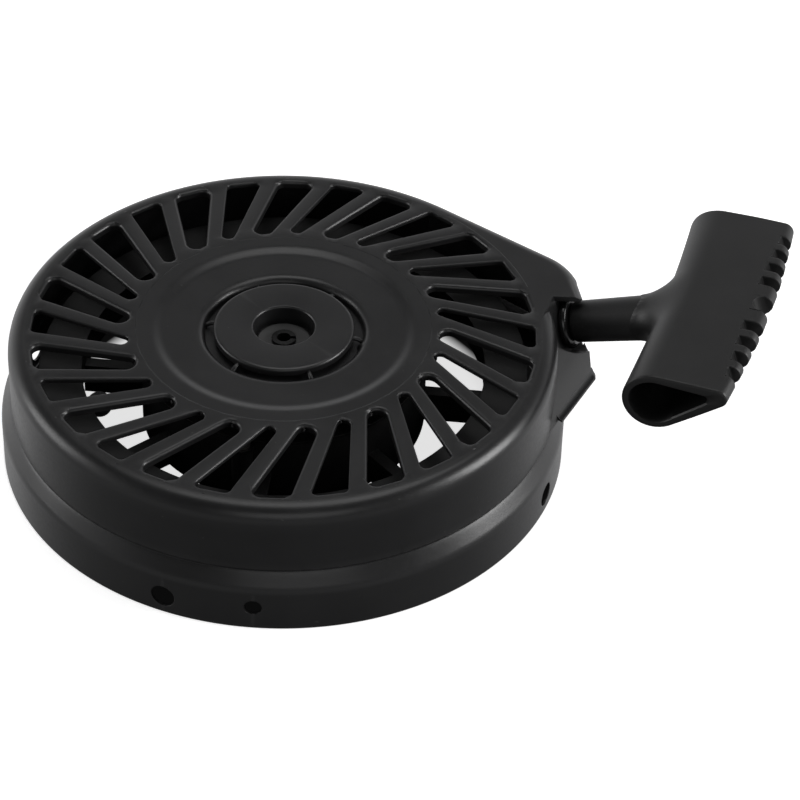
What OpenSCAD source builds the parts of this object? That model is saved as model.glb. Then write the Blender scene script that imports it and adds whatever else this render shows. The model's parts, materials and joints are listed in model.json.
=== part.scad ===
// Recoil starter for a small engine: stamped steel housing, rope pulley on a
// centre post, rewind spring, starter dogs with their retainer, and a pull handle.
// The origin is on the crank axis at the plane of the housing's rim. +Z points
// away from the engine, and +X points to the side where the rope comes out.

/* [Housing] */
// Outer radius of the lower band
rim_r = 93.5; // [92:0.5:96]
// Outer radius of the wall above the flare
wall_r = 90; // [89:0.5:91]
// Height of the lower band
band_h = 15.5; // [13:0.5:17]
// Height at which the upper wall starts
shoulder_z = 21; // [20:0.5:22]
// Height of the top face at its outer edge
edge_z = 45.3; // [44.5:0.1:46]
// Height of the top face round the vents' inner ends
crown_z = 46.7; // [46:0.1:47.5]
// Thickness of the steel sheet
sheet = 1.6; // [1.2:0.1:1.8]
// Outer radius of the rounded top edge
edge_round = 5.5; // [4:0.5:6]
// Radius of the round opening in the middle of the top face
eye_r = 25.8; // [25:0.1:27]
// Diameter of the mounting holes in the lower band
mount_hole_d = 8; // [6:0.5:9]
// Direction of the first mounting hole
mount_hole_angle = -21; // [-25:1:-18]

/* [Vents] */
// Number of vent slots
vent_count = 28; // [20:2:32]
// Radius of the outer ends of the slots
vent_outer_r = 82.6; // [80:0.1:83]
// Radius of the inner ends of the slots
vent_inner_r = 51; // [50:0.5:54]
// How far each slot's inner end is turned from its outer end
vent_sweep = 12.4; // [8:0.1:14]
// Direction of the first slot's outer end
vent_phase = -13.2; // [-20:0.1:20]

/* [Rope outlet] */
// Direction of the rope as it leaves, seen from above
exit_yaw = -17.5; // [-22:0.5:-12]
// Rise of the rope as it leaves
exit_pitch = 19; // [14:0.5:22]
// Height of the middle of the rope outlet
outlet_z = 32.4; // [32:0.1:33]
// Diameter of the rope
rope_d = 3.6; // [3.2:0.1:4]

/* [Pulley] */
// Outer radius of the pulley's flanges
pulley_r = 80.4; // [79:0.1:82]
// Top of the upper flange
flange_top_z = 31.5; // [30.5:0.1:32]
// Radius of the floor of the rope groove
groove_r = 68.4; // [67:0.1:69]
// Number of ribs, and of windows between them
rib_count = 8; // [6:1:10]

/* [Centre] */
// Radius of the centre disc
disc_r = 23; // [22:0.1:24]
// Radius of the recess in the centre disc
recess_r = 10; // [9:0.1:11]
// Radius of the post that the pulley turns on
post_r = 16; // [15:0.1:17]
// Radius of the centre pin
pin_r = 4; // [3:0.1:4.5]

/* [Handle] */
// Length of the handle's bar
bar_len = 96; // [80:1:105]
// Depth of the bar from its round back to its finger edge
bar_depth = 37; // [32:1:42]
// Radius of the bar's round back
back_r = 10.2; // [9:0.1:11]
// Radius of the bar's finger edge
finger_r = 3.4; // [3:0.1:4]
// Distance from the stem's end to the bar
stem_len = 31; // [26:1:36]
// Wall of the hollow bar
grip_wall = 2.6; // [2:0.1:3]

/* [Hidden] */

$fn = 96;
run_gap = 0.05;                  // radial gap of a running fit
gap = 0.3;                       // gap between parts that pass each other

// Rope outlet frame: out along the rope, across to the left of it, and up
out_dir = [cos(exit_pitch) * cos(exit_yaw), cos(exit_pitch) * sin(exit_yaw), sin(exit_pitch)];
seat = [94, 24.9, outlet_z];     // middle of the flat that the eyelet is fixed to
flange_t = 3;                    // how far the eyelet stands out of the flat
butt = flange_t + gap;           // from the flat to the end of the handle's stem
rope_r = rope_d / 2;
insert_u = butt + stem_len + grip_wall + 0.6;   // inner face of the handle's rope retainer
rope_stop_r = 6;

// Rope outlet: corner posts of its outline as [x, y, radius]
tangent_a = 55;                  // direction where its long side leaves the drum
post_a = [(wall_r - 12) * cos(tangent_a), (wall_r - 12) * sin(tangent_a), 12];
outlet_posts = [post_a, [75.2, 28, 23.2], [98.3, 10.1, 4], [75.3, -24.4, 10]];
outlet_floor = 21.5;             // underside of the rope outlet
pocket = [9.4, 11, 44];          // depth below the rope, left side and width of the eyelet's pocket
pocket_step = [3.7, 1.6];        // the pocket's floor steps up in front of the eyelet
// Lower edge of the pocket to the right of the eyelet, as [across, up] in the outlet's frame
pocket_side = [[-3, -9.4], [-7, -7.4], [-15.7, -1.8], [-22, 5], [-34, 17]];
hood_y = 22;                     // the roof ends here, over the pocket
front_at = [98, 0, outlet_floor];   // a point of the sloped front panel
front_turn = [-26.8, -24.9];     // direction and lean of the front panel
eyelet_r = 9;
eyelet_neck_r = 5.8;
eyelet_bore_r = rope_r + 0.6;
mount_hole_z = 6.5;
locating_hole_angle = -93;
locating_hole_z = 8.5;
locating_hole_r = 2.8;

// Pulley levels
groove_bottom = 22.4;
groove_top = flange_top_z - 1.5;
lead_r = 78.2;                   // radius at which the rope leaves the winding
coil_r = 75.8;                   // outside of the wound rope
rope_z = (groove_bottom + groove_top) / 2;
cup_r = 47;                      // outside of the spring's cup
cup_floor = 20;
cup_top = 35.4;
drive_z = 10;                    // underside of the pulley's drive plate
post_bottom = 12;
rib_turn = -4.6;                 // direction of the first rib

screw_turn = rib_turn + 22;      // direction of the first cover screw
screw_pcr = 49.6;
knot_angle = rib_turn + 202;     // direction of the rope's anchor
spring_z = [22.4, 34.9];
spring_r = [17.6, 43.8];         // middle of the spring's first and last turns
hook_angle = 120;

// Centre post and disc
disc_top = crown_z;
plate_bottom = 41.2;             // underside of the plate that is welded to the housing
weld_z = crown_z - 1 - sheet;
hub_plate_r = 37;
hub_step_z = plate_bottom + 1;   // floor of the step that clears the housing's rolled lip
recess_z = disc_top - 7;

// Centre stack under the post
plate_z = 3.4;                   // underside of the retainer
plate_t = 1.4;
pin_head = [7, 1.0, 2.4];        // radius, bottom and top of the pin's head
boss_top = 8;                    // top of the retainer's boss
retainer_r = 28.8;
dog_z = [5, 8.8];                // bottom and top of the dogs
lug_rest_a = -9.5;               // direction of a dog's lug from its pivot, dog in
dog_pivot_r = 21;                // distance of a dog's pivot from the axis
dog_post_r = 3;
lug_r = 1.5;                     // the dog's lug that runs in the retainer
lug_reach = 9.1;                 // distance of the lug from the pivot
dog_swing = 28;                  // how far a dog turns out
retainer_turn = 20;              // how far the retainer turns to do it

function polar(r, a) = [r * cos(a), r * sin(a)];
function arc(c, r, a0, a1, n) = [for (i = [0:n]) c + polar(r, a0 + (a1 - a0) * i / n)];

// A polygon whose corners are rounded, each with its own radius
function rounded_corner(before, p, after, r, n) =
    let (a = unit(before - p), b = unit(after - p), half = acos(a * b) / 2,
         c = p + unit(a + b) * r / sin(half), s = p + a * r / tan(half) - c,
         f = p + b * r / tan(half) - c, start = atan2(s[1], s[0]),
         sweep = (atan2(f[1], f[0]) - start + 900) % 360 - 180)
    arc(c, r, start, start + sweep, n);
function rounded(p, radii, n) =
    [for (i = [0:len(p) - 1])
        each rounded_corner(p[(i + len(p) - 1) % len(p)], p[i], p[(i + 1) % len(p)], radii[i], n)];

// Offsets an open path to its right by t, with mitred corners
function side(a, b) = [b[1] - a[1], a[0] - b[0]] / norm(b - a);
function mitre(p, i, t) =
    let (before = side(p[max(i - 1, 0)], p[max(i, 1)]),
         after = side(p[min(i, len(p) - 2)], p[min(i + 1, len(p) - 1)]))
    p[i] + (before + after) * t / (1 + before * after);

// A tube swept along points, as one closed polyhedron
function unit(v) = v / norm(v);
function along(p, i) = unit(p[min(i + 1, len(p) - 1)] - p[max(i - 1, 0)]);
module tube(p, r, sides = 12) {
    rings = [for (i = [0:len(p) - 1])
        let (t = along(p, i), u = unit(cross([0, 0, 1], t)), v = cross(t, u))
        for (k = [0:sides - 1]) p[i] + r * (cos(360 * k / sides) * u + sin(360 * k / sides) * v)];
    last = (len(p) - 1) * sides;
    walls = [for (i = [0:len(p) - 2], k = [0:sides - 1])
        let (m = (k + 1) % sides)
        [i * sides + k, (i + 1) * sides + k, (i + 1) * sides + m, i * sides + m]];
    polyhedron(rings, concat(walls, [[for (k = [0:sides - 1]) k]],
        [[for (k = [sides - 1:-1:0]) last + k]]));
}

module ring(r_out, r_in, z0, z1) {
    difference() {
        translate([0, 0, z0]) cylinder(r = r_out, h = z1 - z0);
        translate([0, 0, z0 - 1]) cylinder(r = r_in, h = z1 - z0 + 2);
    }
}

// Places children in the rope outlet's frame: X out, Y across, Z up
module at_outlet(out = 0) {
    translate(seat + out_dir * out) rotate([0, 0, exit_yaw]) rotate([0, -exit_pitch, 0]) children();
}
module rod(r, u0, u1, fn = 96) {
    translate([u0, 0, 0]) rotate([0, 90, 0]) cylinder(r = r, h = u1 - u0, $fn = fn);
}

// ---- Housing ---------------------------------------------------------------

// Outside of the sheet, from the rim up and in to the lip of the middle opening
housing_path = concat(
    [[rim_r, 0], [rim_r, band_h], [wall_r, shoulder_z]],
    arc([wall_r - edge_round, edge_z - edge_round], edge_round, 0, 90, 6),
    [[51, crown_z], [43, crown_z], [40, crown_z - 1]],
    arc([eye_r + 3, crown_z - 4], 3, 90, 180, 4));

module drum_solid(inset) {
    outline = inset == 0 ? housing_path
        : [for (i = [0:len(housing_path) - 1]) mitre(housing_path, i, -inset)];
    low = inset == 0 ? 0 : -1;
    rotate_extrude($fn = 180)
        polygon(concat([[0, low], [outline[0][0], low]], outline, [[0, outline[len(outline) - 1][1]]]));
}

module outlet_block(inset) {
    top = edge_z - inset;
    soft = edge_round - inset;
    hull() for (p = outlet_posts) translate([p[0], p[1], 0]) {
        r = p[2] - inset;
        for (a = [0, 45, 90])
            translate([0, 0, outlet_floor + inset])
                cylinder(r = max(r - soft * (1 - cos(a)), 0.4),
                         h = top - soft * (1 - sin(a)) - outlet_floor - inset, $fn = 32);
    }
}

// Everything in front of the sloped panel under the eyelet
module front_cut(grow) {
    translate(front_at) rotate([0, 0, front_turn[0]]) rotate([0, front_turn[1], 0])
        translate([-grow, -80, -80]) cube([80, 160, 160]);
}

// The pocket in front of the eyelet's flat. It is open to the front and the top,
// apart from the roof, which carries on over it as far as the hood's edge.
module outlet_pocket(grow) {
    low = -pocket[0] - grow;
    step_u = pocket_step[0] + 2 * grow;
    at_outlet() intersection() {
        translate([-grow, pocket[1] + grow, 0]) rotate([90, 0, 0])
            linear_extrude(pocket[2] + 2 * grow)
                polygon([[0, low], [step_u, low], [step_u, low + pocket_step[1]],
                         [50, low + pocket_step[1]], [50, 60], [0, 60]]);
        translate([-grow - 1, 0, 0]) rotate([90, 0, 90]) linear_extrude(60)
            polygon(concat([[pocket[1] + grow + 2, 70], [pocket[1] + grow + 2, low - 1]],
                [for (p = pocket_side) p - [0, 1.25 * grow]], [[-40, 70]]));
    }
}
module hooded_pocket() {
    intersection() {
        outlet_pocket(0);
        union() {
            translate([0, -100, 0]) cube([200, 100 + hood_y, 100]);
            translate([0, -100, 0]) cube([200, 200, edge_z - sheet]);
        }
    }
}

module vent(i) {
    wide = i % 2 == 0;
    outer_a = vent_phase + 360 * i / vent_count;
    inner_a = outer_a + vent_sweep;
    outer_half = wide ? 4.45 : 4.2;
    inner_half = wide ? 3.7 : 2.5;
    corner = wide ? 2 : 1.4;
    end = wide ? 3.1 : 2.15;
    polygon(rounded(
        [polar(vent_outer_r, outer_a - outer_half), polar(vent_outer_r, outer_a + outer_half),
         polar(vent_inner_r, inner_a + inner_half), polar(vent_inner_r, inner_a - inner_half)],
        [corner, corner, end, end], 5));
}

module housing() {
    color([0.09, 0.09, 0.095]) difference() {
        union() {
            drum_solid(0);
            difference() {
                outlet_block(0);
                hooded_pocket();
                front_cut(0);
            }
        }
        drum_solid(sheet);
        difference() {
            outlet_block(sheet);
            outlet_pocket(sheet);
            front_cut(sheet);
        }
        cylinder(r = eye_r, h = 60);
        translate([0, 0, edge_z - 6]) linear_extrude(10)
            for (i = [0:vent_count - 1]) vent(i);
        at_outlet() rod(eyelet_neck_r, -5, 5);
        for (k = [0:3]) rotate([0, 0, mount_hole_angle + 90 * k]) translate([0, 0, mount_hole_z])
            rod(mount_hole_d / 2, rim_r - 6, rim_r + 6);
        rotate([0, 0, locating_hole_angle]) translate([0, 0, locating_hole_z])
            rod(locating_hole_r, rim_r - 6, rim_r + 6);
    }
}

// ---- Centre ----------------------------------------------------------------

module centre_hub() {
    color([0.12, 0.12, 0.125]) difference() {
        rotate_extrude() polygon([
            [0, post_bottom], [post_r - 0.6, post_bottom], [post_r, post_bottom + 0.6],
            [post_r, plate_bottom], [hub_plate_r, plate_bottom], [hub_plate_r, weld_z],
            [hub_plate_r - 6, weld_z], [hub_plate_r - 6, hub_step_z],
            [disc_r - 2.5, hub_step_z], [disc_r - 2.5, disc_top - 2.8],
            [disc_r, disc_top - 2.8], [disc_r, disc_top - 0.8], [disc_r - 0.8, disc_top],
            [0, disc_top]]);
        translate([0, 0, recess_z]) cylinder(r = recess_r, h = 20);
        cylinder(r = pin_r, h = 60);
        rotate([0, 0, hook_angle]) translate([post_r - 3, -0.6, spring_z[0] - 0.4])
            cube([6, 1.2, spring_z[1] - spring_z[0] + 0.8]);
    }
}

module centre_pin() {
    color("silver") difference() {
        union() {
            cylinder_between(pin_r, pin_head[2], recess_z + 2.2);
            cylinder_between(pin_head[0], pin_head[1], pin_head[2]);
        }
        cylinder_between(2.3, recess_z - 12, recess_z + 3);
        translate([0, -0.6, recess_z - 12]) cube([10, 1.2, 20]);
    }
}
module cylinder_between(r, z0, z1) {
    translate([0, 0, z0]) cylinder(r = r, h = z1 - z0);
}

module upper_washer() { color("dimgray") ring(8.6, pin_r + 0.1, recess_z, recess_z + 1); }
module lower_washer() { color("dimgray") ring(8.4, pin_r + 0.1, pin_head[2], plate_z - 0.1); }

module brake_spring() {
    turns = 2;
    steps = 36;
    wire_r = 0.45;
    low = boss_top + wire_r + 0.15;
    high = post_bottom - wire_r - 0.15;
    color("silver")
        tube([for (i = [0:steps]) let (a = 360 * turns * i / steps)
            [6.4 * cos(a), 6.4 * sin(a), low + (high - low) * i / steps]], wire_r, 8);
}

// Flat strip wound in a spiral, with its inner end bent into the post's slot
module rewind_spring() {
    turns = 9;
    steps = turns * 24;
    function at(i, off) = polar(spring_r[0] + (spring_r[1] - spring_r[0]) * i / steps + off,
        hook_angle + 360 * turns * i / steps);
    function hook(r, off) = polar(r, hook_angle) + polar(off, hook_angle + 90);
    color([0.25, 0.27, 0.3]) translate([0, 0, spring_z[0]]) linear_extrude(spring_z[1] - spring_z[0])
        polygon(concat(
            [hook(post_r - 2.6, -0.35), hook(post_r - 2.6, 0.35), hook(spring_r[0] - 0.35, 0.35)],
            [for (i = [1:steps]) at(i, -0.35)], [for (i = [steps:-1:0]) at(i, 0.35)],
            [hook(spring_r[0] + 0.35, -0.35)]));
}

// ---- Pulley ----------------------------------------------------------------

module radial_ribs(count, turn, r0, r1, z0, z1, t) {
    for (i = [0:count - 1]) rotate([0, 0, turn + 360 * i / count])
        translate([r0, -t / 2, z0]) cube([r1 - r0, t, z1 - z0]);
}

module window(i) {
    pitch = 360 / rib_count;
    from = rib_turn + pitch * i + 1.8;
    to = rib_turn + pitch * (i + 1) - 1.8;
    translate([0, 0, cup_floor]) linear_extrude(10)
        polygon(concat(arc([0, 0], cup_r - 0.5, from + 0.8, to - 0.8, 8),
            arc([0, 0], groove_r - 1.2, to, from, 8)));
}

module pulley() {
    bore_r = post_r + run_gap;
    color([0.1, 0.1, 0.105]) difference() {
        union() {
            ring(20, bore_r, drive_z, cup_floor + 1);
            ring(31, bore_r, drive_z, drive_z + 2.4);
            ring(cup_r, post_r + gap, cup_floor, cup_floor + 2);
            ring(cup_r, cup_r - 2.4, drive_z + 1.5, cup_top);
            difference() {
                ring(groove_r - 1, cup_r - 1, groove_bottom, groove_bottom + 2);
                for (i = [0:rib_count - 1]) window(i);
            }
            ring(groove_r, groove_r - 2, groove_bottom - 1.5, flange_top_z);
            ring(pulley_r, groove_r - 1, groove_top, flange_top_z);
            ring(pulley_r, groove_r - 1, groove_bottom - 1.5, groove_bottom);
            radial_ribs(rib_count, rib_turn, cup_r - 1, groove_r - 1.3, drive_z + 2.6,
                groove_bottom + 1.6, 2.2);
            radial_ribs(rib_count, rib_turn, 19, cup_r - 0.6, drive_z + 2, cup_floor + 0.6, 2.2);
            for (k = [0:2]) rotate([0, 0, screw_turn + 120 * k]) translate([screw_pcr, 0, 0])
                cylinder_between(3.4, groove_bottom + 0.6, cup_top - 0.2);
            for (k = [0, 1]) rotate([0, 0, 90 + 180 * k]) translate([dog_pivot_r, 0, 0])
                cylinder_between(dog_post_r, dog_z[0], drive_z + 1);
        }
        for (k = [0:2]) rotate([0, 0, screw_turn + 120 * k]) translate([screw_pcr, 0, 0])
            cylinder_between(1.25, cup_top - 9, cup_top + 1);
        rotate([0, 0, knot_angle]) translate([0, 0, rope_z]) rod(rope_r + 0.2, groove_r - 6, groove_r + 2);
    }
}

module spring_cover() {
    color("gray") difference() {
        union() {
            ring(cup_r, post_r + 1.2, cup_top, cup_top + 1.2);
            for (k = [0:2]) rotate([0, 0, screw_turn + 120 * k]) translate([screw_pcr, 0, 0])
                cylinder_between(3.8, cup_top, cup_top + 1.2);
        }
        for (k = [0:2]) rotate([0, 0, screw_turn + 120 * k]) translate([screw_pcr, 0, 0])
            cylinder_between(1.25, cup_top - 1, cup_top + 2);
        for (k = [0:5]) rotate([0, 0, 60 * k]) translate([31, 0, 0])
            cylinder_between(3, cup_top - 1, cup_top + 2);
    }
}

module cover_screws() {
    color("silver") for (k = [0:2]) rotate([0, 0, screw_turn + 120 * k]) translate([screw_pcr, 0, 0])
        difference() {
            union() {
                cylinder_between(1.25, cup_top - 8, cup_top + 1.3);
                cylinder_between(2.8, cup_top + 1.2, cup_top + 3);
            }
            for (a = [0, 90]) rotate([0, 0, a])
                translate([-1.6, -0.3, cup_top + 2]) cube([3.2, 0.6, 2]);
        }
}

// The wound rope: two layers of two turns, as a plain ring that fills the groove
module rope_coil() {
    color("black") ring(coil_r, groove_r + 0.1, groove_bottom + 0.2, groove_top - 0.2);
}

module pulley_knot() {
    color("black") rotate([0, 0, knot_angle]) translate([0, 0, rope_z]) {
        translate([groove_r - 2 - 4.3, 0, 0]) sphere(r = 4.2, $fn = 48);
        rod(rope_r, groove_r - 5, groove_r);
    }
}

// ---- Dogs and their retainer -------------------------------------------------

// The lug's place in the retainer's own frame when the retainer has turned by t
function lug_at(t) =
    let (a = lug_rest_a + t * dog_swing / retainer_turn, p = [0, dog_pivot_r] + polar(lug_reach, a))
    [p[0] * cos(t) + p[1] * sin(t), -p[0] * sin(t) + p[1] * cos(t)];

module retainer() {
    slot_steps = 10;
    color("gray") difference() {
        union() {
            ring(retainer_r, pin_r + run_gap, plate_z, plate_z + plate_t);
            ring(9, pin_r + run_gap, plate_z, boss_top);
        }
        for (k = [0, 1]) rotate([0, 0, 180 * k]) {
            for (i = [0:slot_steps]) translate(concat(lug_at(retainer_turn * i / slot_steps), 0))
                cylinder_between(lug_r + 0.45, plate_z - 1, plate_z + 3);
            rotate([0, 0, 25]) translate([16, 0, 0]) cylinder_between(3.4, plate_z - 1, plate_z + 3);
        }
    }
}

module starter_dog() {
    color("silver") translate([0, dog_pivot_r, 0]) difference() {
        union() {
            translate([0, 0, dog_z[0]]) linear_extrude(dog_z[1] - dog_z[0])
                polygon(concat(
                    arc([0, 0], 5.2, 100, 262, 12), arc([9, -2.2], 4.2, 262, 280, 3),
                    [[19.4, -6.2], [21, -4.6], [20.2, -2.2]], arc([9, -1.4], 4.2, 70, 100, 4)));
            translate(concat(polar(lug_reach, lug_rest_a), 0))
                cylinder_between(lug_r, plate_z + 0.2, dog_z[0] + 0.5);
        }
        cylinder_between(dog_post_r + run_gap, dog_z[0] - 1, dog_z[1] + 1);
    }
}
module starter_dog_a() { starter_dog(); }
module starter_dog_b() { rotate([0, 0, 180]) starter_dog(); }

// Torsion spring round a dog's post, with one leg along the dog and one on the plate
module dog_spring() {
    wire = 0.32;
    low = dog_z[1] + 0.12;
    color("silver") translate([0, dog_pivot_r, low]) {
        ring(4.6, dog_post_r + 0.2, 0, 2 * wire);
        translate([2, -4.6, 0]) cube([11, 2 * wire, 2 * wire]);
        translate([-9, 3.9, 0]) cube([10, 2 * wire, 2 * wire]);
    }
}
module dog_spring_a() { dog_spring(); }
module dog_spring_b() { rotate([0, 0, 180]) dog_spring(); }

// ---- Rope outlet and rope ----------------------------------------------------

module rope_eyelet() {
    color([0.08, 0.08, 0.085]) at_outlet() rotate([0, 90, 0]) rotate_extrude()
        polygon(concat(
            [[eyelet_bore_r + 0.6, -4.4], [eyelet_neck_r - 0.4, -4.4], [eyelet_neck_r, -4],
             [eyelet_neck_r, 0]],
            arc([eyelet_r - 1.4, 1.4], 1.4, -90, 60, 5),
            [[eyelet_bore_r + 2.6, flange_t]],
            arc([eyelet_bore_r + 1.6, flange_t - 1.7], 1.6, 90, 180, 4),
            [[eyelet_bore_r, -3.8]]));
}

// From the winding straight to the outlet, then round into the eyelet
rope_turn = seat - out_dir * 10;
turn_r = norm([rope_turn[0], rope_turn[1]]);
leave_a = atan2(rope_turn[1], rope_turn[0]) + acos(lead_r / turn_r);
leave = concat(polar(lead_r, leave_a), rope_z);
run_in = unit(rope_turn - leave);
function bend(a, b, c, t) = a * (1 - t) * (1 - t) + b * 2 * t * (1 - t) + c * t * t;
rope_path = concat(
    [for (i = [0:3]) leave + (rope_turn - run_in * 5.5 - leave) * i / 3],
    [for (i = [1:5]) bend(rope_turn - run_in * 5.5, rope_turn, rope_turn + out_dir * 5.5, i / 5)],
    [seat + out_dir * (flange_t - 0.2)]);
module rope_lead() { color("black") tube(rope_path, rope_r, 12); }

// ---- Handle ------------------------------------------------------------------

module across_rod(r, u, len) {
    translate([u, len / 2, 0]) rotate([90, 0, 0]) cylinder(r = r, h = len, $fn = 64);
}

// A notch across the finger edge, with a round floor, down to a depth below the edge
module finger_notch(r, depth) {
    translate([r - depth, 0, 0]) cylinder(r = r, h = 40, center = true);
    translate([r - depth, -r, -20]) cube([20, 2 * r, 40]);
}

module grip() {
    bow = 3;                     // how far the finger edge stands out in the middle
    notch_depth = 5.6;
    back = butt + stem_len;
    front = back + bar_depth;
    color([0.07, 0.07, 0.07]) at_outlet() difference() {
        union() {
            translate([butt, 0, 0]) rotate([0, 90, 0]) cylinder(r1 = 7, r2 = 7.8, h = stem_len + 4);
            hull() {
                rod(7.7, back - 5, back - 4, 32);
                translate([back + 3, -12.5, -7]) cube([1, 25, 14]);
            }
            hull() {
                across_rod(back_r, back + back_r, bar_len);
                across_rod(finger_r, front - finger_r, 30);
                across_rod(finger_r, front - bow - finger_r, bar_len);
            }
        }
        hull() {
            across_rod(back_r - grip_wall, back + back_r, bar_len + 2);
            across_rod(finger_r - 2, front - bow - notch_depth - 3, bar_len + 2);
        }
        rod(rope_r + 0.4, butt - 1, back + 8);
        rod(rope_stop_r + 0.2, insert_u, back + 10);
        for (side = [-1, 1], k = [0:3]) translate([front, side * (12.5 + 8.2 * k), 0])
            finger_notch(2.3, notch_depth - 0.27 * k);
        translate([front, 0, 0]) finger_notch(3.8, 4.2);
    }
}

module grip_rope() { color("black") at_outlet() rod(rope_r, butt, insert_u + 3); }
module rope_retainer() {
    color("silver") at_outlet() difference() {
        rod(rope_stop_r, insert_u, insert_u + 2);
        rod(rope_r + 0.1, insert_u - 1, insert_u + 3);
    }
}
module grip_knot() {
    color("black") at_outlet() translate([insert_u + 6.3, 0, 0]) sphere(r = 4.4, $fn = 48);
}

housing();
centre_hub();
rope_eyelet();
rewind_spring();
centre_pin();
upper_washer();
lower_washer();
brake_spring();
rope_lead();
pulley();
spring_cover();
cover_screws();
rope_coil();
pulley_knot();
dog_spring_a();
dog_spring_b();
retainer();
starter_dog_a();
starter_dog_b();
grip();
grip_rope();
rope_retainer();
grip_knot();
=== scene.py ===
import json
import math

import bmesh
import bpy
import numpy as np
from mathutils import Matrix, Vector
from mathutils.geometry import delaunay_2d_cdt

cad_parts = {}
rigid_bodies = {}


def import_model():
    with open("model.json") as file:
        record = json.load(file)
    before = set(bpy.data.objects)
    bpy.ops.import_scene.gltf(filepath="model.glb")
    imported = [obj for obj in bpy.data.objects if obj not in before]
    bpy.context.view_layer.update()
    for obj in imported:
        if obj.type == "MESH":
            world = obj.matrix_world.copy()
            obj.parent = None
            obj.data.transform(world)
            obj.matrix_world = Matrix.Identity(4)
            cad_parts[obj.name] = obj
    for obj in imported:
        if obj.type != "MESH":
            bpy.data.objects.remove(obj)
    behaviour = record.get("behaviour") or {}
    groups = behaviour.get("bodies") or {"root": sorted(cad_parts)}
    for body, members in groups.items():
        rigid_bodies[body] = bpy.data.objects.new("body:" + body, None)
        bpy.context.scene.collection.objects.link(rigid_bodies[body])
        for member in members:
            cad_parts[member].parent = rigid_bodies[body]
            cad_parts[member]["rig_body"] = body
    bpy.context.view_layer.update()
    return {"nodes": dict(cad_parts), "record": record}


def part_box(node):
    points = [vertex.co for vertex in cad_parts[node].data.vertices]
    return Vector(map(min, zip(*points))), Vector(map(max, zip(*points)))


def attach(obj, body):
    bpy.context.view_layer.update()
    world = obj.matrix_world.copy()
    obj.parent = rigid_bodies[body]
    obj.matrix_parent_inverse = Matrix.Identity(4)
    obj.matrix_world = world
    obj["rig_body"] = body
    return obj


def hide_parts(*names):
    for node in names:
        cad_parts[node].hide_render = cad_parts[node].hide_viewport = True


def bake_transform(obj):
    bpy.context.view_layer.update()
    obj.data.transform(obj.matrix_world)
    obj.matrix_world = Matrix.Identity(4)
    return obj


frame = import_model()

MM = 0.001

# ---- Camera and light --------------------------------------------------------

scene = bpy.context.scene
ELEVATION = 0.694088     # camera angle over the floor, in radians
ROLL = 0.0325
DISTANCE = 1.0
AIM = Vector((0.0386913, 0.0199883, 0.0))
SENSOR = 36
FOCAL = 3.6537125        # focal length over the picture's width


def add_camera():
    forward = Vector((0, math.cos(ELEVATION), -math.sin(ELEVATION)))
    up = Vector((0, math.sin(ELEVATION), math.cos(ELEVATION)))
    right = Vector((1, 0, 0))
    c, s = math.cos(ROLL), math.sin(ROLL)
    x_axis, y_axis = c * right + s * up, -s * right + c * up
    data = bpy.data.cameras.new("camera")
    data.sensor_width = SENSOR
    data.lens = FOCAL * SENSOR
    data.clip_start = 0.01
    data.clip_end = 50
    cam = bpy.data.objects.new("camera", data)
    scene.collection.objects.link(cam)
    m = Matrix((x_axis, y_axis, -forward)).transposed().to_4x4()
    m.translation = AIM - forward * DISTANCE
    cam.matrix_world = m
    scene.camera = cam


def add_area(name, place, target, size, power, color=(1, 1, 1)):
    data = bpy.data.lights.new(name, "AREA")
    data.shape = "RECTANGLE"
    data.size, data.size_y = size
    data.energy = power
    data.color = color
    o = bpy.data.objects.new(name, data)
    scene.collection.objects.link(o)
    o.location = place
    o.rotation_euler = (Vector(target) - Vector(place)).to_track_quat("-Z", "Y").to_euler()
    return o


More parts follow.
